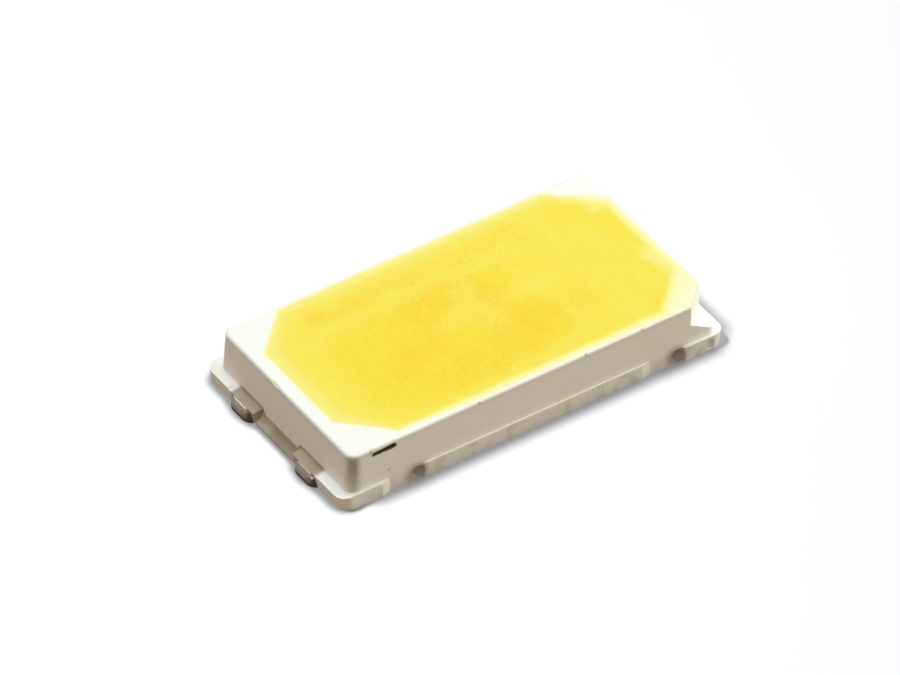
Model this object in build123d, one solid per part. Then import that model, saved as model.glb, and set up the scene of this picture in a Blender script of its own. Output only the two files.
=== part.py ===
from build123d import *

import os
from math import sqrt

# A white surface-mount light-emitting diode: a moulded housing round a two-piece
# lead frame, with a phosphor-filled octagonal cup over the die.
# X runs along the long side, Y across it and Z up.
# The origin is the middle of the underside.

# Driving dimensions, in millimetres

# Skirt: the low step round the foot of the housing
SKIRT_LENGTH = 5.60
SKIRT_WIDTH = 3.00
SKIRT_HEIGHT = 0.21
SKIRT_CORNER_RADIUS = 0.15
SKIRT_END_LEAN = 0.04       # each end face draws in by this much at the underside

# Crown: the tall part of the housing, measured at its flat rim
HEIGHT = 0.76
END_STEP = 0.15             # from the skirt's end to the crown's top edge, if centred
SIDE_STEP = 0.095           # the same on the long sides
CROWN_SHIFT_X = 0.025       # the sample's mould halves weren't quite in line
CROWN_SHIFT_Y = -0.03
END_DRAW = 0.03             # how much wider the crown's foot is than its top
SIDE_DRAW = 0.02
CROWN_CORNER_RADIUS = 0.13
RIM_EDGE_RADIUS = 0.035

# Cup: the octagonal reflector bowl sunk into the crown
RIM_END = 0.175             # width of the rim at the ends and along the sides, if centred
RIM_SIDE = 0.11
WINDOW_SHIFT_X = 0.065
WINDOW_SHIFT_Y = -0.005
WINDOW_CORNER = 0.56        # corner cut of the window
FLOOR_LENGTH = 3.30
FLOOR_WIDTH = 1.95
FLOOR_CORNER = 0.36
CUP_EDGE_RADIUS = 0.12      # radius in plan where two walls of the bowl meet

# Polarity cut across one corner of the crown, with a sloping floor
CUT_ALONG = 0.35
CUT_ACROSS = 0.35
CUT_DEPTH = 0.285           # at the long side's end of the cut
CUT_TILT = 0.09             # how much deeper it is at the short side
CUT_FALL = 0.15             # how much the floor falls from the cut's face to the corner

# Long sides: two notches each, where the carrier strip held the housing
NOTCH_MIDDLE = 1.89         # from the middle of the side to the middle of a notch
NOTCH_LENGTH = 0.62
NOTCH_SLANT = 0.13          # length of the easy slope at a notch's -X end
NOTCH_STEEP = 0.03          # and of the steep one at its +X end
NOTCH_DEPTH = 0.045
MIDDLE_SETBACK = 0.02       # between the notches the skirt stands back a little
DENT_RADIUS = 0.10          # the strip's finger left a dent at one end of each notch
DENT_DEPTH = 0.05
DENT_FROM_END = 0.09

# Ends: between the corner blocks the ledge slopes down to the tabs, with a cove between them
TAB_CLEARANCE = 0.025       # from a tab's side to the slope's end, and to the cove
TAB_SKIN = 0.012            # thickness of the moulding over a tab at the skirt's end

# Lead frame: one sheet, cut into two leads that the housing holds apart
FRAME_THICKNESS = 0.18
SHEET_END_COVER = 0.35      # from the skirt's end to the sheet's end
SHEET_SIDE_COVER = 0.35
SHEET_CORNER_RADIUS = 0.08
STEP_HEIGHT = 0.09          # the coined step under the sheet's edge, which locks it in
STEP_INSET = 0.10
LEAD_GAP = 0.20
GAP_MIDDLE = 0.78           # from the middle of the housing towards +X
ANCHOR_RADIUS = 0.10        # half-round bites that the moulding flows through
CATHODE_ANCHORS = (-1.75, -0.60)
ANODE_ANCHORS = (1.65,)
TAB_WIDTH = 0.50
TAB_SPACING = 1.40          # between the middles of the two tabs at an end
TAB_REACH = 0.04            # how far a tab stands out past the skirt's top edge
TAB_CORNER_RADIUS = 0.15    # in plan
TAB_EDGE_FALL = 0.045       # how much of the top edge the shear dragged down
TAB_ROOT = 0.25             # how far the tab runs in under the sheet

# Dies, the glue under them, and their bond pads
DIE_LENGTH = 0.62
DIE_WIDTH = 0.70
DIE_THICKNESS = 0.14
MESA_INSET = 0.02
MESA_HEIGHT = 0.006
DIE_MIDDLE_X = 0.12
DIE_MIDDLE_Y = 0.08
ZENER_SIZE = 0.28
ZENER_THICKNESS = 0.12
ZENER_FROM_GAP = 0.20       # from the gap's edge to the middle of the protection diode
ZENER_MIDDLE_Y = 0.28
GLUE_THICKNESS = 0.012
GLUE_MARGIN = 0.035         # how far the glue spreads past a die
GLUE_CORNER_RADIUS = 0.06
BOND_PAD_RADIUS = 0.05
BOND_PAD_HEIGHT = 0.006
BOND_PAD_INSET = 0.11       # from the die's edge to the middle of a bond pad

# Gold wires
WIRE_RADIUS = 0.0125
WIRE_LOOP = 0.13            # height of the loop over its ball
WIRE_KINK = 0.035           # how much of the loop's top corner is cut off
WIRE_LANDING = 0.09         # level stretch before the stitch
BALL_RADIUS = 0.036
BALL_HEIGHT = 0.020
STITCH_LENGTH = 0.10
STITCH_WIDTH = 0.06
STITCH_HEIGHT = 0.014
STITCH_AXIS_HEIGHT = 0.017  # the wire's middle over the lead where it lands
CATHODE_STITCH_RUN = 0.62   # from a die's bond pad to the stitch on its lead
ANODE_STITCH_RUN = 0.20     # past the gap's edge
ZENER_STITCH_BACK = 0.22    # before the gap's edge
ZENER_STITCH_SIDE = 0.30    # to the side of the protection diode

# Phosphor-filled silicone
FILL_DROP = 0.001           # the silicone stands this far below the rim
FILL_DISH = 0.003           # and sinks this much more in the middle

# Marks that the sample carries
GOUGE_START_X = -2.30
GOUGE_LENGTH = 0.35
GOUGE_HEIGHT = 0.055        # at its blunt end
GOUGE_TIP_HEIGHT = 0.035
GOUGE_END_LEAN = 0.03
GOUGE_DEPTH = 0.03
GOUGE_Z = 0.664             # height of its lower edge
CHIP_MIDDLE_Y = 0.19
CHIP_LENGTH = 0.26
CHIP_DEPTH = 0.022
PIT_X = 2.58
PIT_RADIUS = 0.05
PIT_HEIGHT = 0.15

# Sizes that follow from the ones above
CROWN_LENGTH = SKIRT_LENGTH - 2 * END_STEP
CROWN_WIDTH = SKIRT_WIDTH - 2 * SIDE_STEP
FOOT_LENGTH = CROWN_LENGTH + 2 * END_DRAW
FOOT_WIDTH = CROWN_WIDTH + 2 * SIDE_DRAW
WINDOW_LENGTH = CROWN_LENGTH - 2 * RIM_END
WINDOW_WIDTH = CROWN_WIDTH - 2 * RIM_SIDE
SLOPE_WIDTH = TAB_SPACING + TAB_WIDTH + 2 * TAB_CLEARANCE
COVE_WIDTH = TAB_SPACING - TAB_WIDTH - 2 * TAB_CLEARANCE
SHEET_END = SKIRT_LENGTH / 2 - SHEET_END_COVER
SHEET_WIDTH = SKIRT_WIDTH - 2 * SHEET_SIDE_COVER
TAB_TIP = SKIRT_LENGTH / 2 + TAB_REACH
GAP_START = GAP_MIDDLE - LEAD_GAP / 2
GAP_END = GAP_MIDDLE + LEAD_GAP / 2
ZENER_MIDDLE_X = GAP_END + ZENER_FROM_GAP
GLUE_TOP = FRAME_THICKNESS + GLUE_THICKNESS
FILL_TOP = HEIGHT - FILL_DROP

UP = Vector(0, 0, 1)
ON_FLOOR = (Align.CENTER, Align.CENTER, Align.MIN)
UPRIGHT = 0.9               # an edge whose direction has this much Z stands upright
PAST = 0.5                  # how far a cutter runs past the surface that it cuts


def octagon(length, width, corner):
    """A rectangle with cut corners, softened a little where two sides meet."""
    outline = Rectangle(length, width)
    outline = chamfer(outline.vertices(), corner)
    return fillet(outline.vertices(), CUP_EDGE_RADIUS)


def bowl(top):
    """The space inside the reflector cup, from its floor up to the height top."""
    climb = (top - FRAME_THICKNESS) / (HEIGHT - FRAME_THICKNESS)

    def at_height(floor_size, window_size):
        return floor_size + (window_size - floor_size) * climb

    floor = octagon(FLOOR_LENGTH, FLOOR_WIDTH, FLOOR_CORNER)
    mouth = octagon(
        at_height(FLOOR_LENGTH, WINDOW_LENGTH),
        at_height(FLOOR_WIDTH, WINDOW_WIDTH),
        at_height(FLOOR_CORNER, WINDOW_CORNER),
    )
    shift = Vector(WINDOW_SHIFT_X, WINDOW_SHIFT_Y, 0) * climb
    return loft([Pos(0, 0, FRAME_THICKNESS) * floor, Pos(shift.X, shift.Y, top) * mouth], ruled=True)


def skirt():
    """The low step, with end faces that draw in towards the underside."""
    half = SKIRT_LENGTH / 2
    side_view = Polygon(
        (-half + SKIRT_END_LEAN, 0),
        (half - SKIRT_END_LEAN, 0),
        (half, SKIRT_HEIGHT),
        (-half, SKIRT_HEIGHT),
        align=None,
    )
    block = extrude(Plane.XZ * side_view, amount=SKIRT_WIDTH / 2, both=True)
    corners = [edge for edge in block.edges() if abs(edge.tangent_at(0).Z) > UPRIGHT]
    return fillet(corners, SKIRT_CORNER_RADIUS)


def crown():
    """The tapering walls, standing in the skirt, with a rounded top edge."""
    foot = RectangleRounded(FOOT_LENGTH, FOOT_WIDTH, CROWN_CORNER_RADIUS)
    rim = RectangleRounded(CROWN_LENGTH, CROWN_WIDTH, CROWN_CORNER_RADIUS)
    walls = loft([Pos(0, 0, SKIRT_HEIGHT) * foot, Pos(0, 0, HEIGHT) * rim], ruled=True)
    walls = fillet(walls.faces().sort_by(Axis.Z)[-1].edges(), RIM_EDGE_RADIUS)
    return Pos(CROWN_SHIFT_X, CROWN_SHIFT_Y, 0) * walls


def side_relief():
    """What is cut from one long side of the skirt: two notches and a slight setback."""
    outer = NOTCH_MIDDLE + NOTCH_LENGTH / 2
    inner = NOTCH_MIDDLE - NOTCH_LENGTH / 2
    face = -SKIRT_WIDTH / 2
    outline = Polygon(
        (-outer, face - PAST),
        (-outer, face),
        (-outer + NOTCH_SLANT, face + NOTCH_DEPTH),
        (-inner - NOTCH_STEEP, face + NOTCH_DEPTH),
        (-inner, face + MIDDLE_SETBACK),
        (inner, face + MIDDLE_SETBACK),
        (inner + NOTCH_SLANT, face + NOTCH_DEPTH),
        (outer - NOTCH_STEEP, face + NOTCH_DEPTH),
        (outer, face),
        (outer, face - PAST),
        align=None,
    )
    relief = Pos(0, 0, -PAST) * extrude(outline, amount=SKIRT_HEIGHT + PAST, dir=UP)
    for end in (-1, 1):
        middle = end * NOTCH_MIDDLE + NOTCH_LENGTH / 2 - DENT_FROM_END
        sink = face + NOTCH_DEPTH + DENT_DEPTH - DENT_RADIUS
        relief += Pos(middle, sink, SKIRT_HEIGHT - DENT_RADIUS) * Sphere(DENT_RADIUS)
    return relief


def end_relief(wall):
    """What is cut from the -X end: a slope over the tabs and a quarter-round cove between them."""
    reach = wall + SKIRT_LENGTH / 2
    fall = (SKIRT_HEIGHT - FRAME_THICKNESS - TAB_SKIN) * PAST / reach
    slope = Polygon(
        (wall, SKIRT_HEIGHT),
        (wall - PAST, SKIRT_HEIGHT),
        (wall - PAST, SKIRT_HEIGHT - fall),
        align=None,
    )
    lip = SKIRT_HEIGHT - reach
    with BuildSketch(Plane.XZ) as cove:
        with BuildLine():
            Polyline(
                (wall - reach, lip),
                (wall - PAST, lip),
                (wall - PAST, SKIRT_HEIGHT),
                (wall, SKIRT_HEIGHT),
            )
            RadiusArc((wall, SKIRT_HEIGHT), (wall - reach, lip), reach)
        make_face()
    relief = extrude(Plane.XZ * slope, amount=SLOPE_WIDTH / 2, both=True)
    return relief + extrude(cove.sketch, amount=COVE_WIDTH / 2, both=True)


def polarity_cut():
    """The wedge taken off the crown's corner, with a floor that falls outwards."""
    corner_x = CROWN_SHIFT_X + CROWN_LENGTH / 2
    corner_y = CROWN_SHIFT_Y - CROWN_WIDTH / 2
    plan = Polygon(
        (corner_x - CUT_ALONG - PAST * CUT_ALONG / CUT_ACROSS, corner_y - PAST),
        (corner_x + PAST, corner_y + CUT_ACROSS + PAST * CUT_ACROSS / CUT_ALONG),
        (corner_x + PAST, corner_y - PAST),
        align=None,
    )
    lowest = HEIGHT - CUT_DEPTH - CUT_TILT - CUT_FALL
    wedge = Pos(0, 0, lowest) * extrude(plan, amount=HEIGHT - lowest + PAST, dir=UP)
    inward = Vector(-CUT_ACROSS, CUT_ALONG, 0).normalized()
    reach = CUT_ALONG * CUT_ACROSS / sqrt(CUT_ALONG**2 + CUT_ACROSS**2)
    hinge = Vector(corner_x - CUT_ALONG, corner_y, HEIGHT - CUT_DEPTH)
    slope = Vector(inward.X * reach, inward.Y * reach, CUT_FALL)
    along_cut = Vector(CUT_ALONG, CUT_ACROSS, -CUT_TILT)
    floor_plane = Plane(origin=hinge, x_dir=along_cut, z_dir=along_cut.cross(slope))
    return split(wedge, bisect_by=floor_plane, keep=Keep.TOP)


def marks():
    """The gouge, the chip and the pit that this sample carries."""
    side = CROWN_SHIFT_Y - CROWN_WIDTH / 2
    end = CROWN_SHIFT_X - CROWN_LENGTH / 2
    gouge_outline = Polygon(
        (0, 0),
        (GOUGE_LENGTH, 0),
        (GOUGE_LENGTH - GOUGE_END_LEAN, GOUGE_HEIGHT),
        (0, GOUGE_TIP_HEIGHT),
        align=None,
    )
    gouge = extrude(Plane.XZ * gouge_outline, amount=GOUGE_DEPTH, both=True)
    gouge = Pos(GOUGE_START_X, side, GOUGE_Z) * gouge
    chip_radius = (CHIP_LENGTH**2 / 4 + CHIP_DEPTH**2) / (2 * CHIP_DEPTH)
    chip_rise = (chip_radius - CHIP_DEPTH) / sqrt(2)
    chip = Pos(end - chip_rise, CHIP_MIDDLE_Y, HEIGHT + chip_rise) * Sphere(chip_radius)
    pit = Pos(PIT_X, -SKIRT_WIDTH / 2, SKIRT_HEIGHT - PIT_HEIGHT / 2 - PIT_RADIUS) * (
        Cylinder(PIT_RADIUS, PIT_HEIGHT - 2 * PIT_RADIUS)
        + Pos(0, 0, PIT_HEIGHT / 2 - PIT_RADIUS) * Sphere(PIT_RADIUS)
        + Pos(0, 0, PIT_RADIUS - PIT_HEIGHT / 2) * Sphere(PIT_RADIUS)
    )
    return gouge + chip + pit


def lead(start, end, tab_side, anchors):
    """One lead: a coined sheet from start to end along X, with two tabs at its outer end."""
    middle = (start + end) / 2
    length = end - start
    sheet_outline = RectangleRounded(length, SHEET_WIDTH, SHEET_CORNER_RADIUS)
    pad_outline = RectangleRounded(
        length - 2 * STEP_INSET, SHEET_WIDTH - 2 * STEP_INSET, SHEET_CORNER_RADIUS
    )
    body = Pos(middle, 0, 0) * extrude(pad_outline, amount=FRAME_THICKNESS)
    body += Pos(middle, 0, STEP_HEIGHT) * extrude(
        sheet_outline, amount=FRAME_THICKNESS - STEP_HEIGHT
    )
    for anchor in anchors:
        for side in (-1, 1):
            body -= Pos(anchor, side * SHEET_WIDTH / 2, 0) * Cylinder(
                ANCHOR_RADIUS, FRAME_THICKNESS, align=ON_FLOOR
            )
    for side in (-1, 1):
        body += Pos(tab_side * TAB_TIP, side * TAB_SPACING / 2, 0) * tab(tab_side)
    return body


def tab(tab_side):
    """A sheared tab, its tip at the local origin and its dragged-down edges on top."""
    length = TAB_TIP - SHEET_END + TAB_ROOT
    block = Pos(-tab_side * length / 2, 0, 0) * Box(
        length, TAB_WIDTH, FRAME_THICKNESS, align=ON_FLOOR
    )
    tip = block.faces().sort_by(Axis.X)[-1 if tab_side > 0 else 0]
    block = fillet(tip.edges().filter_by(Axis.Z), TAB_CORNER_RADIUS)
    top = block.faces().sort_by(Axis.Z)[-1]
    root_edge = top.edges().sort_by(Axis.X)[0 if tab_side > 0 else -1]
    dragged = [edge for edge in top.edges() if edge != root_edge]
    return chamfer(dragged, TAB_EDGE_FALL)


def glue(length, width, x, y):
    """The film under a die, squeezed out a little past its edges."""
    outline = RectangleRounded(
        length + 2 * GLUE_MARGIN, width + 2 * GLUE_MARGIN, GLUE_CORNER_RADIUS
    )
    return Pos(x, y, FRAME_THICKNESS) * extrude(outline, amount=GLUE_THICKNESS)


def bond_pad():
    """A thin round pad, standing on the local origin."""
    return Cylinder(BOND_PAD_RADIUS, BOND_PAD_HEIGHT, align=ON_FLOOR)


def led_die():
    """The light-emitting die: a clear block with a mesa and two bond pads on top."""
    body = Box(DIE_LENGTH, DIE_WIDTH, DIE_THICKNESS, align=ON_FLOOR)
    mesa = Box(
        DIE_LENGTH - 2 * MESA_INSET, DIE_WIDTH - 2 * MESA_INSET, MESA_HEIGHT, align=ON_FLOOR
    )
    body += Pos(0, 0, DIE_THICKNESS) * mesa
    for side in (-1, 1):
        offset = side * (DIE_LENGTH / 2 - BOND_PAD_INSET)
        body += Pos(offset, 0, DIE_THICKNESS + MESA_HEIGHT) * bond_pad()
    return Pos(DIE_MIDDLE_X, DIE_MIDDLE_Y, GLUE_TOP) * body


def zener_die():
    """The small protection diode, with one pad on top."""
    body = Box(ZENER_SIZE, ZENER_SIZE, ZENER_THICKNESS, align=ON_FLOOR)
    body += Pos(0, 0, ZENER_THICKNESS) * bond_pad()
    return Pos(ZENER_MIDDLE_X, ZENER_MIDDLE_Y, GLUE_TOP) * body


def bond_wire(start, end):
    """A gold wire: a ball at start, a loop, and a flat stitch at end."""
    run = Vector(end.X - start.X, end.Y - start.Y, 0)
    span = run.length
    landing = end.Z + STITCH_AXIS_HEIGHT - start.Z
    upright = Plane(origin=start, x_dir=run, z_dir=run.cross(UP))
    knee = Vector(0, BALL_HEIGHT + WIRE_LOOP)
    touch = Vector(span - WIRE_LANDING, landing)
    path = upright * Polyline(
        (0, BALL_HEIGHT / 2),
        knee - Vector(0, WIRE_KINK),
        knee + (touch - knee).normalized() * WIRE_KINK,
        touch,
        (span, landing),
    )
    section = Plane(origin=path @ 0, z_dir=path % 0) * Circle(WIRE_RADIUS)
    wire = sweep(section, path=path, transition=Transition.RIGHT)
    ball = Cylinder(BALL_RADIUS, BALL_HEIGHT, align=ON_FLOOR)
    stitch_plane = Plane(origin=end, x_dir=run, z_dir=UP)
    stitch = extrude(
        stitch_plane * Ellipse(STITCH_LENGTH / 2, STITCH_WIDTH / 2), amount=STITCH_HEIGHT
    )
    return wire + Pos(*start) * ball + stitch


def wires():
    """The three bond wires by node name."""
    die_top = GLUE_TOP + DIE_THICKNESS + MESA_HEIGHT + BOND_PAD_HEIGHT
    zener_top = GLUE_TOP + ZENER_THICKNESS + BOND_PAD_HEIGHT
    pad_offset = DIE_LENGTH / 2 - BOND_PAD_INSET
    cathode_pad = Vector(DIE_MIDDLE_X - pad_offset, DIE_MIDDLE_Y, die_top)
    anode_pad = Vector(DIE_MIDDLE_X + pad_offset, DIE_MIDDLE_Y, die_top)
    zener_pad = Vector(ZENER_MIDDLE_X, ZENER_MIDDLE_Y, zener_top)
    cathode_stitch = Vector(cathode_pad.X - CATHODE_STITCH_RUN, DIE_MIDDLE_Y, FRAME_THICKNESS)
    anode_stitch = Vector(GAP_END + ANODE_STITCH_RUN, DIE_MIDDLE_Y - BOND_PAD_INSET, FRAME_THICKNESS)
    zener_stitch = Vector(
        GAP_START - ZENER_STITCH_BACK, ZENER_MIDDLE_Y + ZENER_STITCH_SIDE, FRAME_THICKNESS
    )
    return {
        "cathode_bond_wire": bond_wire(cathode_pad, cathode_stitch),
        "anode_bond_wire": bond_wire(anode_pad, anode_stitch),
        "zener_bond_wire": bond_wire(zener_pad, zener_stitch),
    }


def housing(leads):
    """The moulded body, with the leads taken out of it so that they fit face to face."""
    base = skirt()
    base -= side_relief()
    base -= mirror(side_relief(), about=Plane.XZ)
    base -= end_relief(CROWN_SHIFT_X - FOOT_LENGTH / 2)
    base -= mirror(end_relief(-CROWN_SHIFT_X - FOOT_LENGTH / 2), about=Plane.YZ)
    body = base + crown()
    body -= bowl(HEIGHT)
    body -= polarity_cut()
    body -= marks()
    for metal in leads:
        body -= metal
    return body


def encapsulant(buried):
    """The silicone that fills the cup round everything buried in it."""
    fill = bowl(FILL_TOP)
    half = WINDOW_LENGTH / 2
    dish_radius = (half**2 + FILL_DISH**2) / (2 * FILL_DISH)
    dish = Sphere(dish_radius)
    fill -= Pos(WINDOW_SHIFT_X, WINDOW_SHIFT_Y, FILL_TOP - FILL_DISH + dish_radius) * dish
    for piece in buried:
        fill -= piece
    return fill


cathode = lead(-SHEET_END, GAP_START, -1, CATHODE_ANCHORS)
anode = lead(GAP_END, SHEET_END, 1, ANODE_ANCHORS)
buried = {
    "led_die": led_die(),
    "led_die_glue": glue(DIE_LENGTH, DIE_WIDTH, DIE_MIDDLE_X, DIE_MIDDLE_Y),
    "zener_die": zener_die(),
    "zener_die_glue": glue(ZENER_SIZE, ZENER_SIZE, ZENER_MIDDLE_X, ZENER_MIDDLE_Y),
    **wires(),
}
nodes = {
    "housing": housing([cathode, anode]),
    "cathode_lead": cathode,
    "anode_lead": anode,
    "phosphor_encapsulant": encapsulant(buried.values()),
    **buried,
}

os.makedirs("parts", exist_ok=True)
for name, shape in nodes.items():
    export_step(shape, f"parts/{name}.step")
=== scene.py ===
from math import cos, pi, radians, sin, sqrt

import bpy
from mathutils import Matrix, Vector


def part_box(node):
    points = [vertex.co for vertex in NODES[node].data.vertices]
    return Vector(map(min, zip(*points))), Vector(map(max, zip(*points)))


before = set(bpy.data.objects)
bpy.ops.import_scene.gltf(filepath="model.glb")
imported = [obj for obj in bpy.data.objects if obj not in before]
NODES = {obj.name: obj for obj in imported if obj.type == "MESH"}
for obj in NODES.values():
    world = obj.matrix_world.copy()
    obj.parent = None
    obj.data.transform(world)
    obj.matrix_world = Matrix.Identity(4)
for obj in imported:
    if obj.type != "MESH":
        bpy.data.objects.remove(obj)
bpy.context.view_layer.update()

bl_info = {
    "name": "Surface Mount LED",
    "version": (1, 0, 0),
    "blender": (4, 5, 0),
    "location": "View3D > Sidebar > LED",
    "description": "Finishes a white moulded LED package and sets it on a white studio floor",
    "category": "Object",
}

# Lengths in the shaders are in millimetres, and in the scene in metres
MM = 0.001


def box_mm(node):
    """Lowest and highest corner of a CAD node, in millimetres."""
    low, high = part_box(node)
    return low / MM, high / MM


# Sizes of the part, and places on it
HALF_WIDTH, HEIGHT = box_mm("housing")[1].yz
TAB_END, TAB_TOP = box_mm("anode_lead")[1].xz
TAB_PLACE = 0.70
SKIRT_TOP = 0.21
WINDOW_CORNER = 0.56
NOTCH_MIDDLE = 1.89
DENT_FROM_MIDDLE = 0.21
FRONT_EDGE = (-2.58, -1.43, 0.0)
NICK = (-2.33, -1.43, 0.735)
GOUGE_HEIGHT = 0.668
GOUGE_ENDS = (-2.28, -1.99)

# Marks on the moulding: place, radius and strength of each small dark speck
SPECKS = [
    ((-2.08, -1.45, 0.34), 0.006, 0.42),
    ((-0.76, -1.43, 0.735), 0.005, 0.42),
    ((0.79, -1.43, 0.745), 0.006, 0.45),
    ((1.61, -1.43, 0.745), 0.005, 0.35),
    ((2.65, -0.01, 0.75), 0.005, 0.30),
    ((2.66, -0.20, 0.75), 0.006, 0.35),
    ((2.57, -1.47, 0.14), 0.025, 0.40),
]

# Middles of the four oval dents in the skirt, in lengths scaled so that the dents are round
DENT_SCALE = (0.8, 1.0, 0.9)
DENTS = [
    ((end * NOTCH_MIDDLE + DENT_FROM_MIDDLE) * DENT_SCALE[0], side * 1.44, 0.10)
    for end in (-1, 1) for side in (-1, 1)
]

# Where the silicone is deeper: middle, half length, half width, turn and strength of each zone
FLOOR_ZONES = [
    ((-0.66, -0.25), 1.12, 0.86, 0.0, 1.0),
    ((0.48, -0.60), 0.53, 0.46, 0.2, 0.9),
    ((0.62, 0.38), 0.24, 0.22, 0.3, 0.85),
]

# Where the phosphor settled and looks amber
AMBER_ZONES = [
    ((-0.27, 0.34), 0.55, 0.30, 0.1, 0.9),
    ((-0.86, -0.28), 0.60, 0.30, 0.5, 0.8),
    ((0.52, -0.62), 0.52, 0.42, 0.2, 0.9),
    ((-0.36, -0.81), 0.75, 0.30, 0.1, 0.6),
    ((0.42, 0.12), 0.18, 0.40, 0.4, 0.8),
    ((-0.97, 0.94), 0.60, 0.20, 0.1, 0.40),
    ((-0.10, 0.97), 0.60, 0.20, 0.1, 0.40),
    ((0.75, 0.98), 0.60, 0.20, 0.1, 0.30),
    ((-1.52, 0.93), 0.20, 0.16, 0.0, 0.75),
    ((1.29, -0.58), 0.22, 0.18, 0.3, 0.45),
]

# Pale places over the die, its wires and the protection diode
PALE_ZONES = [
    ((0.18, 0.34), 0.22, 0.20, 0.0, 0.75),
    ((0.00, 0.00), 0.42, 0.20, 0.1, 0.85),
    ((0.22, -0.20), 0.18, 0.36, 0.3, 0.55),
    ((0.60, -0.06), 0.20, 0.16, 0.0, 0.35),
    ((1.02, -0.03), 0.56, 0.16, 0.05, 0.5),
    ((0.88, 0.72), 0.50, 0.20, -0.2, 0.6),
    ((-0.80, 0.66), 1.10, 0.13, 0.0, 0.40),
    ((2.12, 0.08), 0.08, 0.55, 0.15, 0.45),
]

# Painted sheen: where the silicone looks washed out at the window's edge
SHEEN_ZONES = [
    ((2.55, -0.50), 0.17, 0.36, 0.0, 0.9),
    ((1.72, 1.30), 0.36, 0.14, 0.0, 0.6),
    ((2.46, 0.80), 0.16, 0.16, 0.0, 0.6),
]

# How far noise bends the outlines of those zones and of the pale border, in millimetres
ZONE_WANDER = 0.35
BORDER_WANDER = 0.08

# Tints of the moulding, and colours of shade painted on it
WARM_WHITE = (0.91, 0.89, 0.84)
COOL_WHITE = (0.895, 0.915, 0.845)
FLECK = (0.80, 0.76, 0.68)
# Painted shade under the rim
RIM_SHADE = (0.84, 0.75, 0.69)
STREAK = (0.62, 0.56, 0.46)
# Painted shade down the near upright edge
EDGE_SHADE = (0.40, 0.35, 0.28)
# Painted shade in the skirt's dents
DENT_SHADE = (0.30, 0.25, 0.20)
# Painted shade in the end coves: the first higher up over the tabs, the second low between them
HIGH_COVE_SHADE = (0.35, 0.275, 0.19)
POOLED_COVE_SHADE = (0.27, 0.215, 0.155)

# Height of the slow waves in the moulded faces, in millimetres
WAVE_HEIGHT = 0.006

# Tints of the leads; the first is a painted highlight on the tabs' top edges, the last painted
# shade on their ends
CREST_HIGHLIGHT = (0.78, 0.70, 0.58)
TARNISH = (0.62, 0.55, 0.44)
SHEARED_BLOTCH = (0.42, 0.36, 0.29)
TAB_SHADE = (0.07, 0.045, 0.037)

# Finishes of the buried pieces: colour, metallic, roughness, width of the clouds, and seed
BURIED_FINISHES = {
    "die_crystal": ((0.62, 0.72, 0.82), 0.0, 0.10, 0.10, 31.0),
    "silicon": ((0.25, 0.25, 0.28), 0.3, 0.30, 0.05, 32.0),
    "die_glue": ((0.88, 0.88, 0.84), 0.0, 0.35, 0.08, 33.0),
    "gold_wire": ((0.95, 0.75, 0.34), 1.0, 0.18, 0.02, 34.0),
}

# The pieces that each of those finishes covers
BURIED_PIECES = {
    "die_crystal": ("led_die",),
    "silicon": ("zener_die",),
    "die_glue": ("led_die_glue", "zener_die_glue"),
    "gold_wire": ("cathode_bond_wire", "anode_bond_wire", "zener_bond_wire"),
}

# Colours of the room, and of the floor: as seen, as its painted contact shadow, and as a reflector
ROOM = (0.404, 0.332, 0.256)
FLOOR_SEEN = (0.80, 0.93, 1.19)
FLOOR_SHADE = (0.26, 0.31, 0.41)
FLOOR_BOUNCE = (0.25, 0.21, 0.20)

# Half the side of the floor, in metres, and the reach of the contact shadow painted round the
# part, in millimetres
FLOOR_HALF = 0.6
CONTACT_REACH = 0.17

# Soft boxes: azimuth and elevation in degrees, distance and side in metres, share and colour
LAMPS = {
    "overhead": (180, 80, 0.10, 0.05, 0.65, (0.80, 0.915, 1.0)),
    "side": (77.5, 12, 0.12, 0.07, 0.94, (0.95, 0.99, 0.86)),
    "shadow": (-119, 64, 0.10, 0.024, 1.01, (1.0, 0.876, 0.688)),
}

# The camera aims this far above the origin and left of it in its view, in millimetres
AIM_UP = 0.273
AIM_LEFT = 0.187


# Shader building


class Link:
    """An output socket. Sums, differences, products and quotients of it add Math nodes."""

    def __init__(self, recipe, socket):
        self.recipe = recipe
        self.socket = socket

    def maths(self, operation, *values):
        inputs = dict(enumerate(values))
        return self.recipe.node("ShaderNodeMath", {"operation": operation}, inputs)

    def __add__(self, other):
        return self.maths("ADD", self, other)

    def __radd__(self, other):
        return self.maths("ADD", other, self)

    def __sub__(self, other):
        return self.maths("SUBTRACT", self, other)

    def __rsub__(self, other):
        return self.maths("SUBTRACT", other, self)

    def __mul__(self, other):
        return self.maths("MULTIPLY", self, other)

    def __rmul__(self, other):
        return self.maths("MULTIPLY", other, self)

    def __truediv__(self, other):
        return self.maths("DIVIDE", self, other)

    def __rtruediv__(self, other):
        return self.maths("DIVIDE", other, self)

    def __abs__(self):
        return self.maths("ABSOLUTE", self)

    def lowest(self, other):
        return self.maths("MINIMUM", self, other)

    def highest(self, other):
        return self.maths("MAXIMUM", self, other)

    def ramp(self, start, end):
        """0 at start, 1 at end, with a smooth change between them."""
        settings = {"interpolation_type": "SMOOTHSTEP"}
        inputs = {"Value": self, "From Min": start, "From Max": end}
        return self.recipe.node("ShaderNodeMapRange", settings, inputs)


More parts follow.
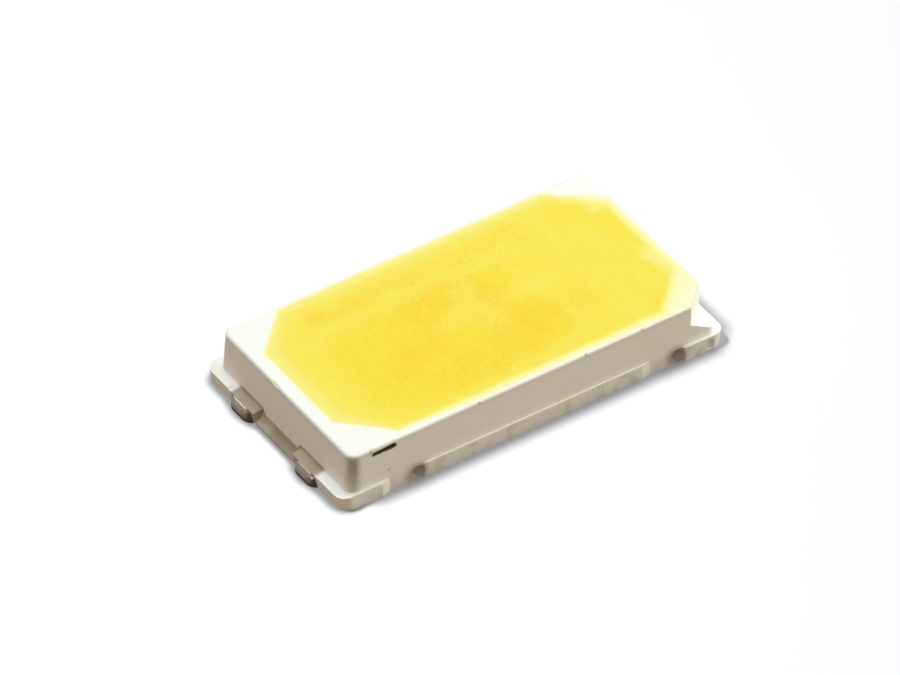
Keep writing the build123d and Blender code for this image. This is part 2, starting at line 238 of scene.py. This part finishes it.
class Recipe:
    """A node tree under construction, with the place on the part in millimetres."""

    def __init__(self, tree):
        self.tree = tree
        tree.nodes.clear()

    def node(self, kind, settings=None, inputs=None, output=0):
        """Adds any node: its settings first, then the values or links of its sockets.

        Gives the output of that name or number, or a list of outputs for a tuple of them.
        """
        made = self.tree.nodes.new(kind)
        for name, value in (settings or {}).items():
            setattr(made, name, value)
        for key, value in (inputs or {}).items():
            if isinstance(value, Link):
                self.tree.links.new(value.socket, made.inputs[key])
            else:
                made.inputs[key].default_value = value
        if isinstance(output, tuple):
            return [Link(self, made.outputs[key]) for key in output]
        return Link(self, made.outputs[output]) if len(made.outputs) else None

    def place(self):
        """The point on the part, in millimetres."""
        here = self.node("ShaderNodeTexCoord", output="Object")
        settings = {"operation": "SCALE"}
        return self.node("ShaderNodeVectorMath", settings, {"Vector": here, "Scale": 1 / MM})

    def parts(self, vector):
        """The three numbers of a vector."""
        return self.node("ShaderNodeSeparateXYZ", None, {0: vector}, output=("X", "Y", "Z"))

    def noise(self, vector, size, seed, detail=3.0, roughness=0.5):
        """Cloudy noise round 0.5, whose blots are about size millimetres wide."""
        inputs = {
            "Vector": vector, "W": seed, "Scale": 1 / size, "Detail": detail,
            "Roughness": roughness,
        }
        return self.node("ShaderNodeTexNoise", {"noise_dimensions": "4D"}, inputs)

    def stretched(self, vector, x, y, z):
        """The vector with each of its numbers multiplied."""
        inputs = {0: vector, 1: (x, y, z)}
        return self.node("ShaderNodeVectorMath", {"operation": "MULTIPLY"}, inputs)

    def distance(self, vector, point):
        """How far a vector's end lies from a point."""
        inputs = {0: vector, 1: point}
        return self.node("ShaderNodeVectorMath", {"operation": "DISTANCE"}, inputs, output="Value")

    def mix(self, share, first, second):
        """The first colour at share 0 and the second at share 1."""
        inputs = {"Factor": share}
        for key, colour in ((6, first), (7, second)):
            inputs[key] = colour if isinstance(colour, Link) else opaque(colour)
        return self.node("ShaderNodeMix", {"data_type": "RGBA"}, inputs, output=2)

    def mixed_shader(self, share, first, second):
        """The first shader at share 0 and the second at share 1."""
        return self.node("ShaderNodeMixShader", None, {0: share, 1: first, 2: second})

    def bump(self, height):
        """A normal from a height in millimetres."""
        return self.node("ShaderNodeBump", None, {"Height": height, "Distance": MM})


def opaque(colour):
    """A colour with three numbers as one with four."""
    return (*colour, 1.0)


def new_recipe(name):
    """A new material, and the recipe of its empty node tree."""
    material = bpy.data.materials.new(name)
    material.use_nodes = True
    return material, Recipe(material.node_tree)


def finish_surface(recipe, **sockets):
    """Adds the surface shader. Its sockets are named in small letters with underscores."""
    names = {key: key.replace("_", " ").title() for key in sockets}
    names["ior"] = "IOR"
    names["specular_ior_level"] = "Specular IOR Level"
    inputs = {names[key]: value for key, value in sockets.items()}
    surface = recipe.node("ShaderNodeBsdfPrincipled", None, inputs)
    recipe.node("ShaderNodeOutputMaterial", None, {"Surface": surface})


def blot(recipe, place, point, radius, soft):
    """1 inside radius of a point, fading to 0 over the distance soft."""
    return recipe.distance(place, point).ramp(radius + soft, radius)


def slab(value, start, end, soft):
    """1 between start and end, fading to 0 over the distance soft outside them."""
    return value.ramp(start - soft, start) * value.ramp(end + soft, end)


def zones(here, list_of_zones, square=False, core=0.0):
    """Each zone's strength in its core, falling softly to 0. Ovals, or nearly boxes."""
    x, y = here
    found = None
    for (middle_x, middle_y), half_length, half_width, turn, strength in list_of_zones:
        along = (x - middle_x) * cos(turn) + (y - middle_y) * sin(turn)
        across = (y - middle_y) * cos(turn) - (x - middle_x) * sin(turn)
        along = along / half_length
        across = across / half_width
        along, across = along * along, across * across
        if square:
            along, across = along * along, across * across
        zone = (along + across).ramp(1.7, core) * strength
        found = zone if found is None else found.highest(zone)
    return found


def outside_window(x, y):
    """How far a point of the top lies outside the octagonal window; negative inside it."""
    low, high = box_mm("phosphor_encapsulant")
    middle = (low + high) / 2
    half = (high - low) / 2
    along = abs(x - middle.x)
    across = abs(y - middle.y)
    corner = (along + across - (half.x + half.y - WINDOW_CORNER)) * sqrt(0.5)
    return (along - half.x).highest(across - half.y).highest(corner)


# Settings


class LED_PG_moulding(bpy.types.PropertyGroup):
    colour: bpy.props.FloatVectorProperty(
        name="Colour", description="White of the moulding compound",
        default=(0.93, 0.92, 0.89), subtype="COLOR", size=3, min=0.0, max=1.0,
    )
    # Painted shade in the end coves, over the tabs and between them
    cove_shade: bpy.props.FloatVectorProperty(
        name="Stain", description="Brown cast of the plastic over and between the tabs",
        default=(0.40, 0.33, 0.24), subtype="COLOR", size=3, min=0.0, max=1.0,
    )
    grime: bpy.props.FloatVectorProperty(
        name="Grime", description="Dark dirt in the gouge and in the specks",
        default=(0.058, 0.040, 0.028), subtype="COLOR", size=3, min=0.0, max=1.0,
    )
    # Painted glow: yellow light from the silicone, painted on the rim beside it
    glow: bpy.props.FloatVectorProperty(
        name="Glow", description="Yellow light that the silicone sheds on the rim beside it",
        default=(0.93, 0.86, 0.26), subtype="COLOR", size=3, min=0.0, max=1.0,
    )
    # Painted light: a pale yellow spill painted on the rim at the polarity end
    spill: bpy.props.FloatVectorProperty(
        name="Spill", description="Pale yellow of the rim at the polarity end",
        default=(0.93, 0.90, 0.50), subtype="COLOR", size=3, min=0.0, max=1.0,
    )
    grain_size: bpy.props.FloatProperty(
        name="Grain Size", description="Width of the grain that the mould left, in millimetres",
        default=0.035, min=0.005, max=0.5,
    )
    grain_height: bpy.props.FloatProperty(
        name="Grain Height", description="Height of that grain, in millimetres",
        default=0.0022, min=0.0, max=0.05,
    )


class LED_PG_silver(bpy.types.PropertyGroup):
    colour: bpy.props.FloatVectorProperty(
        name="Silver", description="Plating on the lead frame",
        default=(0.80, 0.77, 0.72), subtype="COLOR", size=3, min=0.0, max=1.0,
    )
    copper: bpy.props.FloatVectorProperty(
        name="Copper", description="Bare copper where a tab was sheared",
        default=(0.20, 0.065, 0.05), subtype="COLOR", size=3, min=0.0, max=1.0,
    )
    sheared: bpy.props.FloatVectorProperty(
        name="Sheared", description="Grey-brown of the sheared end faces",
        default=(0.25, 0.205, 0.155), subtype="COLOR", size=3, min=0.0, max=1.0,
    )


class LED_PG_phosphor(bpy.types.PropertyGroup):
    colour: bpy.props.FloatVectorProperty(
        name="Yellow", description="Deep silicone over the floor of the cup",
        default=(0.90, 0.722, 0.050), subtype="COLOR", size=3, min=0.0, max=1.0,
    )
    amber: bpy.props.FloatVectorProperty(
        name="Amber", description="Silicone over settled phosphor",
        default=(0.90, 0.650, 0.042), subtype="COLOR", size=3, min=0.0, max=1.0,
    )
    orange: bpy.props.FloatVectorProperty(
        name="Orange", description="Coarse grains of phosphor",
        default=(0.90, 0.59, 0.035), subtype="COLOR", size=3, min=0.0, max=1.0,
    )
    lemon: bpy.props.FloatVectorProperty(
        name="Lemon", description="Thin silicone over the slopes of the cup",
        default=(0.90, 0.745, 0.070), subtype="COLOR", size=3, min=0.0, max=1.0,
    )
    pale: bpy.props.FloatVectorProperty(
        name="Pale", description="Silicone over the dies and along the window",
        default=(0.90, 0.775, 0.120), subtype="COLOR", size=3, min=0.0, max=1.0,
    )
    # Also the colour of the painted sheen at the window's edge
    rim: bpy.props.FloatVectorProperty(
        name="Rim", description="Thinnest silicone, at the window's edge",
        default=(0.92, 0.840, 0.27), subtype="COLOR", size=3, min=0.0, max=1.0,
    )


class LED_PG_studio(bpy.types.PropertyGroup):
    azimuth: bpy.props.FloatProperty(
        name="Azimuth", description="Way that the camera stands round the part, from its front",
        default=radians(-33.84), subtype="ANGLE", unit="ROTATION",
    )
    elevation: bpy.props.FloatProperty(
        name="Elevation", description="Height of the camera above the horizon",
        default=radians(41.44), subtype="ANGLE", unit="ROTATION",
    )
    distance: bpy.props.FloatProperty(
        name="Distance", description="From the camera to the part",
        default=0.175, unit="LENGTH", min=0.01,
    )
    lens: bpy.props.FloatProperty(
        name="Lens", description="Focal length, in millimetres", default=577.5, min=1.0,
    )


# Materials


def plain_white(recipe, place, blush, settings):
    """White plastic, clouded with a warm and a cool white, with fine flecks in it."""
    cloud = recipe.noise(place, 0.9, 1.0, detail=2.0)
    fleck = recipe.noise(place, settings.grain_size, 2.0, detail=2.0)
    colour = recipe.mix(cloud.ramp(0.35, 0.7) * 0.5, settings.colour, WARM_WHITE)
    colour = recipe.mix(fleck.ramp(0.5, 0.8) * 0.22, colour, FLECK)
    return recipe.mix(blush.ramp(0.44, 0.60) * 0.7, colour, COOL_WHITE)


def add_painted_rim_glow_and_shade(recipe, place, colour, settings):
    """Painted glow on the rim beside the window, a pale spill at the polarity end, and painted
    shade under the rim.
    """
    x, y, z = recipe.parts(place)
    on_top = z.ramp(HEIGHT - 0.05, HEIGHT - 0.02)
    wobble = recipe.noise(place, 0.13, 7.0) - 0.5
    outside = outside_window(x, y) + wobble * 0.06
    # Painted light: a pale yellow spill over the rim at the polarity end
    spill = outside.ramp(0.60, 0.10) * x.ramp(1.5, 2.45) * y.ramp(0.4, -0.7)
    colour = recipe.mix(spill * on_top, colour, settings.spill)
    # Narrower at the left end, along the back and at the near half of the polarity end
    glow_width = 0.05 + x.ramp(-2.2, -0.5) * (0.10 - y.ramp(1.0, 1.25) * 0.07)
    glow_width = glow_width + x.ramp(2.2, 2.5) * (y.ramp(-0.4, 0.1) * 0.08 - 0.05)
    # Painted glow: yellow light from the silicone, painted on the rim beside the window
    near = (outside / glow_width).ramp(1.0, 0.0)
    colour = recipe.mix(near * on_top, colour, settings.glow)
    # Painted shade just under the rim
    under_rim = slab(z, HEIGHT - 0.06, HEIGHT - 0.03, 0.03)
    return recipe.mix(under_rim * 0.45, colour, RIM_SHADE)


def add_skirt_streaks_and_shade(recipe, place, colour, blush, settings):
    """Streaks on the skirt's long sides, and painted brown shade in the end coves over and between
    the tabs.
    """
    x, y, z = recipe.parts(place)
    streak = recipe.noise(recipe.stretched(place, 1.0, 1.0, 0.6), 0.16, 3.0)
    flank = abs(y).ramp(HALF_WIDTH - 0.06, HALF_WIDTH - 0.03) * z.ramp(SKIRT_TOP, SKIRT_TOP - 0.02)
    colour = recipe.mix(streak.ramp(0.46, 0.66) * flank * 0.5, colour, STREAK)
    # Painted brown shade in the end coves, reaching higher over the tabs
    over_tab = y.ramp(-0.34, -0.40).highest(y.ramp(0.36, 0.44))
    cove_shade_top = 0.155 + over_tab * 0.065
    cove = abs(x).ramp(2.60, 2.66) * abs(y).ramp(0.96, 0.88) * slab(z, 0.05, cove_shade_top, 0.03)
    blotchy = 0.92 + blush.ramp(0.45, 0.60) * 0.08
    cove_shade = recipe.mix(z.ramp(0.16, 0.20), settings.cove_shade, HIGH_COVE_SHADE)
    colour = recipe.mix(cove * blotchy, colour, cove_shade)
    # Darkest painted shade low in the coves between the tabs
    pooled_shade = cove * slab(y, -0.34, 0.08, 0.12) * slab(z, 0.05, 0.14, 0.03)
    return recipe.mix(pooled_shade * 0.7, colour, POOLED_COVE_SHADE)


def add_painted_edge_shade(recipe, place, colour):
    """Painted shade down the upright edge between the near short side and the near long side."""
    z = recipe.parts(place)[2]
    from_edge = recipe.distance(recipe.stretched(place, 1.0, 1.0, 0.0), FRONT_EDGE)
    edge = from_edge.ramp(0.15, 0.02) * z.ramp(0.20, 0.24) * z.ramp(0.77, 0.68)
    fading = 0.5 + z.ramp(0.28, 0.62) * 0.5
    return recipe.mix(edge * fading * 0.9, colour, EDGE_SHADE)


def grime_mask(recipe, place):
    """1 in the gouge of the long wall, less in the nick beside it and in the specks."""
    x, y, z = recipe.parts(place)
    ragged = recipe.noise(place, 0.05, 8.0) - 0.5
    from_middle = abs(z - GOUGE_HEIGHT + ragged * 0.04)
    gouge = from_middle.ramp(0.037, 0.004) * slab(x + ragged * 0.08, *GOUGE_ENDS, 0.05)
    gouge = (gouge * 1.3).lowest(1.0) * y.ramp(-1.38, -1.40)
    nick = blot(recipe, place, NICK, 0.010, 0.05) * ragged.ramp(-0.1, 0.1) * 0.45
    grime = gouge.highest(nick)
    for point, radius, strength in SPECKS:
        grime = grime.highest(blot(recipe, place, point, radius, 0.022 + radius) * strength)
    return grime


def dent_shade_mask(recipe, place):
    """Painted shade: 1 in the middle of each of the skirt's dents."""
    scaled = recipe.stretched(place, *DENT_SCALE)
    mask = blot(recipe, scaled, DENTS[0], 0.045, 0.14)
    for middle in DENTS[1:]:
        mask = mask.highest(blot(recipe, scaled, middle, 0.045, 0.14))
    return mask


def moulding_material(settings):
    """White plastic with a fine mould grain, its marks, a painted yellow glow round the window and
    painted shade.
    """
    material, recipe = new_recipe("white_moulding")
    place = recipe.place()
    blush = recipe.noise(place, 0.45, 9.0)
    colour = plain_white(recipe, place, blush, settings)
    colour = add_painted_rim_glow_and_shade(recipe, place, colour, settings)
    colour = add_skirt_streaks_and_shade(recipe, place, colour, blush, settings)
    colour = add_painted_edge_shade(recipe, place, colour)
    # Painted shade in the skirt's dents
    colour = recipe.mix(dent_shade_mask(recipe, place) * 0.8, colour, DENT_SHADE)
    grime = grime_mask(recipe, place)
    colour = recipe.mix(grime, colour, settings.grime)
    grain = recipe.noise(place, settings.grain_size, 5.0)
    waves = recipe.noise(place, 0.35, 6.0, detail=1.0)
    finish_surface(
        recipe, base_color=colour, roughness=0.5 + grain * 0.16 + grime * 0.2,
        normal=recipe.bump(grain * settings.grain_height + waves * WAVE_HEIGHT), ior=1.5,
    )
    return material


def silver_material(settings):
    """Silver plate, worn to copper at the sheared ends of the tabs, with painted shade and
    highlights on the tabs.
    """
    material, recipe = new_recipe("silver_plate")
    place = recipe.place()
    x, y, z = recipe.parts(place)
    far_tab = y.ramp(-0.1, 0.1)
    from_tab = y - (far_tab * 2 - 1) * TAB_PLACE
    end = abs(x).ramp(TAB_END - 0.16, TAB_END - 0.12)
    end = end * (z.ramp(TAB_TOP, TAB_TOP - 0.012) * 0.55 + 0.45)
    blotch = recipe.noise(place, 0.06, 11.0)
    tarnish = recipe.noise(place, 0.3, 12.0, detail=2.0)
    colour = recipe.mix(tarnish.ramp(0.4, 0.75) * 0.5, settings.colour, TARNISH)
    colour = recipe.mix(end, colour, settings.sheared)
    colour = recipe.mix(end * blotch.ramp(0.5, 0.7) * 0.35, colour, SHEARED_BLOTCH)
    red_end = slab(from_tab, -0.14, -0.10, 0.06) * z.ramp(0.16, 0.06)
    bare = end * (z.ramp(0.10, 0.03) * 0.6).highest(red_end)
    colour = recipe.mix(bare * (0.5 + blotch * 0.5), colour, settings.copper)
    # Painted shade along the tabs' lower edges and on the near side of each tab's end
    shaded = z.ramp(0.055, 0.02).highest(from_tab.ramp(-0.12, -0.20))
    colour = recipe.mix(end * shaded, colour, TAB_SHADE)
    # Painted highlight along the top edge of each tab, brighter on the far tab
    crest_highlight = z.ramp(TAB_TOP - 0.020, TAB_TOP - 0.007) * slab(from_tab, -0.10, 0.20, 0.05)
    crest_highlight = crest_highlight * (0.35 + far_tab * 0.55)
    colour = recipe.mix(end * crest_highlight, colour, CREST_HIGHLIGHT)
    # Painted highlight: a small bright spot on the near tab
    painted_glint = blot(recipe, place, (0.015 - TAB_END, -TAB_PLACE - 0.19, 0.155), 0.012, 0.03)
    colour = recipe.mix(painted_glint * 0.9, colour, settings.colour)
    drawn = recipe.noise(recipe.stretched(place, 0.12, 1.0, 1.0), 0.02, 13.0, detail=2.0)
    finish_surface(
        recipe, base_color=colour, metallic=1.0, roughness=0.34 + drawn * 0.16 + end * 0.2,
        normal=recipe.bump(drawn * 0.0012 + blotch * end * 0.006),
    )
    return material


def add_thin_border(recipe, colour, spot, bend, settings):
    """Paler silicone towards the window's edge, over a wider strip at the left and the back."""
    x, y = spot
    inside = bend * BORDER_WANDER - outside_window(x, y)
    back_reach = y.ramp(0.2, 1.0) * (0.24 - x.ramp(1.2, 2.2) * 0.12)
    left_reach = x.ramp(-1.3, -2.3) * (0.24 + abs(y).ramp(1.1, 0.6) * 0.18)
    reach = 0.09 - x.ramp(1.6, 2.2) * 0.03 + back_reach.highest(left_reach)
    depth = inside / reach
    colour = recipe.mix(depth.ramp(1.1, 0.3) * 0.8, colour, settings.pale)
    return recipe.mix(depth.ramp(0.45, 0.0) * 0.85, colour, settings.rim)


def phosphor_material(settings):
    """Yellow silicone, deeper where the phosphor settled, paler at the window's edge, with painted
    sheen by the polarity end.
    """
    material, recipe = new_recipe("phosphor_silicone")
    place = recipe.place()
    x, y = recipe.parts(place)[:2]
    bend = recipe.noise(place, 0.30, 20.0, detail=4.0, roughness=0.6) - 0.5
    drift = recipe.noise(place, 0.30, 24.0, detail=4.0, roughness=0.6) - 0.5
    warped = (x + bend * ZONE_WANDER, y + drift * ZONE_WANDER)
    broad = recipe.noise(place, 0.45, 25.0, detail=5.0, roughness=0.6)
    cloud = recipe.noise(place, 0.20, 21.0, detail=4.0, roughness=0.65)
    grit = recipe.noise(place, 0.06, 22.0, detail=4.0, roughness=0.7)
    orange_grit = recipe.noise(place, 0.055, 23.0, roughness=0.7)

    deep = zones(warped, FLOOR_ZONES, square=True, core=0.5)
    settled = (zones(warped, AMBER_ZONES) * (cloud.ramp(0.30, 0.62) + 0.25)).lowest(1.0)
    colour = recipe.mix(broad.ramp(0.35, 0.62) * 0.5, settings.lemon, settings.pale)
    colour = recipe.mix(grit.ramp(0.45, 0.70) * 0.30, colour, settings.colour)
    colour = recipe.mix(deep * (0.78 + grit.ramp(0.40, 0.60) * 0.2), colour, settings.colour)
    colour = recipe.mix(settled * 0.8, colour, settings.amber)
    colour = recipe.mix(zones(warped, PALE_ZONES) * 0.6, colour, settings.pale)
    grains = settled * 0.6 + deep * 0.25 + y.ramp(0.3, 0.9) * 0.2 + 0.22
    colour = recipe.mix(orange_grit.ramp(0.52, 0.64) * grains * 0.8, colour, settings.orange)
    colour = add_thin_border(recipe, colour, (x, y), bend, settings)
    # Painted sheen at the window's edge, towards the polarity end
    colour = recipe.mix(zones(warped, SHEEN_ZONES), colour, settings.rim)
    finish_surface(
        recipe, base_color=colour, roughness=0.42 + grit * 0.12,
        normal=recipe.bump(grit * 0.003 + cloud * 0.008), ior=1.41, specular_ior_level=0.25,
    )
    return material


def plain_material(name, colour, metallic, base_roughness, size, seed):
    """A small buried piece's finish: one colour, clouded a little, with a fine grain."""
    material, recipe = new_recipe(name)
    place = recipe.place()
    cloud = recipe.noise(place, size, seed)
    darker = tuple(channel * 0.8 for channel in colour)
    finish_surface(
        recipe, base_color=recipe.mix(cloud, colour, darker), metallic=metallic,
        roughness=base_roughness + cloud * 0.15, normal=recipe.bump(cloud * 0.001),
    )
    return material


def cover(material, *names):
    """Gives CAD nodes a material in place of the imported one."""
    for name in names:
        NODES[name].data.materials.clear()
        NODES[name].data.materials.append(material)


# Operators


class LED_OT_housing(bpy.types.Operator):
    """Finish the moulded housing"""

    bl_idname = "led.housing"
    bl_label = "Housing"

    def execute(self, context):
        cover(moulding_material(context.scene.led_moulding), "housing")
        return {"FINISHED"}


class LED_OT_leads(bpy.types.Operator):
    """Finish the two leads"""

    bl_idname = "led.leads"
    bl_label = "Leads"

    def execute(self, context):
        cover(silver_material(context.scene.led_silver), "cathode_lead", "anode_lead")
        return {"FINISHED"}


class LED_OT_silicone(bpy.types.Operator):
    """Finish the phosphor-filled silicone"""

    bl_idname = "led.silicone"
    bl_label = "Silicone"

    def execute(self, context):
        cover(phosphor_material(context.scene.led_phosphor), "phosphor_encapsulant")
        return {"FINISHED"}


class LED_OT_dies(bpy.types.Operator):
    """Finish the dies, the glue under them and the bond wires"""

    bl_idname = "led.dies"
    bl_label = "Dies and Wires"

    def execute(self, context):
        for name, pieces in BURIED_PIECES.items():
            cover(plain_material(name, *BURIED_FINISHES[name]), *pieces)
        return {"FINISHED"}


def direction(azimuth, elevation):
    """From the part to something seen at these angles."""
    flat = cos(elevation)
    return Vector((sin(azimuth) * flat, -cos(azimuth) * flat, sin(elevation)))


def lamp(name, azimuth, elevation, distance, size, share, colour):
    """A square soft box. On its own it brings a white sheet facing it to share of white."""
    light = bpy.data.lights.new(name, "AREA")
    light.shape = "SQUARE"
    light.size = size
    light.energy = share * (pi * distance) ** 2
    light.color = colour
    holder = bpy.data.objects.new(name, light)
    away = direction(radians(azimuth), radians(elevation))
    holder.location = away * distance
    holder.rotation_euler = away.to_track_quat("Z", "Y").to_euler()
    bpy.context.scene.collection.objects.link(holder)
    return holder


def link_to_floor(light, floor, state):
    """Keeps a lamp off the floor, or lets it light nothing else."""
    lit = bpy.data.collections.new(light.name + "_receivers")
    lit.objects.link(floor)
    light.light_linking.receiver_collection = lit
    lit.collection_objects[0].light_linking.link_state = state


def seen(recipe):
    """1 for rays that show the background: from the camera, a mirror or clear glass."""
    rays = ("Is Camera Ray", "Is Glossy Ray", "Is Transmission Ray")
    camera, glossy, through = recipe.node("ShaderNodeLightPath", output=rays)
    return camera.highest(glossy).highest(through)


def floor_material():
    """White to the camera, with a painted contact shadow close to the part, and a dim reflector of
    light.
    """
    material, recipe = new_recipe("studio_floor")
    plain, shade, bounce = (
        recipe.node("ShaderNodeBsdfDiffuse", None, {"Color": opaque(colour)})
        for colour in (FLOOR_SEEN, FLOOR_SHADE, FLOOR_BOUNCE)
    )
    reach = {"Distance": CONTACT_REACH * MM}
    open_share = recipe.node("ShaderNodeAmbientOcclusion", {"samples": 16}, reach, output="AO")
    x = recipe.parts(recipe.place())[0]
    # Painted contact shadow where the part shuts in the floor, far stronger by the end at negative
    # x
    contact_shadow = open_share.ramp(0.95, 0.5) * (0.15 + x.ramp(-2.4, -2.7) * 0.85)
    shown = recipe.mixed_shader(contact_shadow, plain, shade)
    surface = recipe.mixed_shader(seen(recipe), bounce, shown)
    recipe.node("ShaderNodeOutputMaterial", None, {"Surface": surface})
    return material


def floor_piece():
    """A wide white floor that keeps the part's shadow."""
    half = FLOOR_HALF
    corners = [(-half, -half, 0), (half, -half, 0), (half, half, 0), (-half, half, 0)]
    mesh = bpy.data.meshes.new("studio_floor")
    mesh.from_pydata(corners, [], [(0, 1, 2, 3)])
    mesh.materials.append(floor_material())
    floor = bpy.data.objects.new("studio_floor", mesh)
    bpy.context.scene.collection.objects.link(floor)
    return floor


def studio_world():
    """A warm grey room that looks white to the camera."""
    world = bpy.data.worlds.new("studio")
    world.use_nodes = True
    recipe = Recipe(world.node_tree)
    room = recipe.node("ShaderNodeBackground", None, {"Color": opaque(ROOM)})
    white = recipe.node("ShaderNodeBackground", None, {"Color": (1.0, 1.0, 1.0, 1.0)})
    recipe.node("ShaderNodeOutputWorld", None, {0: recipe.mixed_shader(seen(recipe), room, white)})
    bpy.context.scene.world = world


def photo_camera(studio):
    """A camera that sees the part from where the photograph does."""
    back = direction(studio.azimuth, studio.elevation)
    right = Vector((cos(studio.azimuth), sin(studio.azimuth), 0))
    up = back.cross(right)
    aim = (up * AIM_UP - right * AIM_LEFT) * MM
    turn = Matrix((right, up, back)).transposed()
    camera = bpy.data.objects.new("camera", bpy.data.cameras.new("camera"))
    camera.matrix_world = Matrix.Translation(aim + back * studio.distance) @ turn.to_4x4()
    camera.data.lens = studio.lens
    camera.data.sensor_width = 36
    camera.data.clip_start = 0.01
    camera.data.clip_end = 10
    bpy.context.scene.collection.objects.link(camera)
    return camera


class LED_OT_stage(bpy.types.Operator):
    """Set the part on a white floor, with soft boxes and the camera"""

    bl_idname = "led.stage"
    bl_label = "Stage"

    def execute(self, context):
        floor = floor_piece()
        studio_world()
        for name, values in LAMPS.items():
            state = "INCLUDE" if name == "shadow" else "EXCLUDE"
            link_to_floor(lamp(name, *values), floor, state)
        context.scene.camera = photo_camera(context.scene.led_studio)
        context.scene.view_settings.view_transform = "Standard"
        return {"FINISHED"}


class LED_PT_panel(bpy.types.Panel):
    """The steps, in the order in which they are run"""

    bl_idname = "LED_PT_panel"
    bl_label = "Surface Mount LED"
    bl_space_type = "VIEW_3D"
    bl_region_type = "UI"
    bl_category = "LED"

    def draw(self, context):
        for step in STEPS:
            self.layout.operator(step.bl_idname)
        for holder in HOLDERS:
            settings = getattr(context.scene, holder)
            for name in settings.__annotations__:
                self.layout.prop(settings, name)


STEPS = (LED_OT_housing, LED_OT_leads, LED_OT_silicone, LED_OT_dies, LED_OT_stage)
HOLDERS = {
    "led_moulding": LED_PG_moulding,
    "led_silver": LED_PG_silver,
    "led_phosphor": LED_PG_phosphor,
    "led_studio": LED_PG_studio,
}


def register():
    for kind in (*HOLDERS.values(), *STEPS, LED_PT_panel):
        bpy.utils.register_class(kind)
    for name, kind in HOLDERS.items():
        setattr(bpy.types.Scene, name, bpy.props.PointerProperty(type=kind))


def unregister():
    for name in HOLDERS:
        delattr(bpy.types.Scene, name)
    for kind in reversed((*HOLDERS.values(), *STEPS, LED_PT_panel)):
        bpy.utils.unregister_class(kind)


def main():
    register()
    bpy.ops.led.housing()
    bpy.ops.led.leads()
    bpy.ops.led.silicone()
    bpy.ops.led.dies()
    bpy.ops.led.stage()


if __name__ == "__main__":
    main()
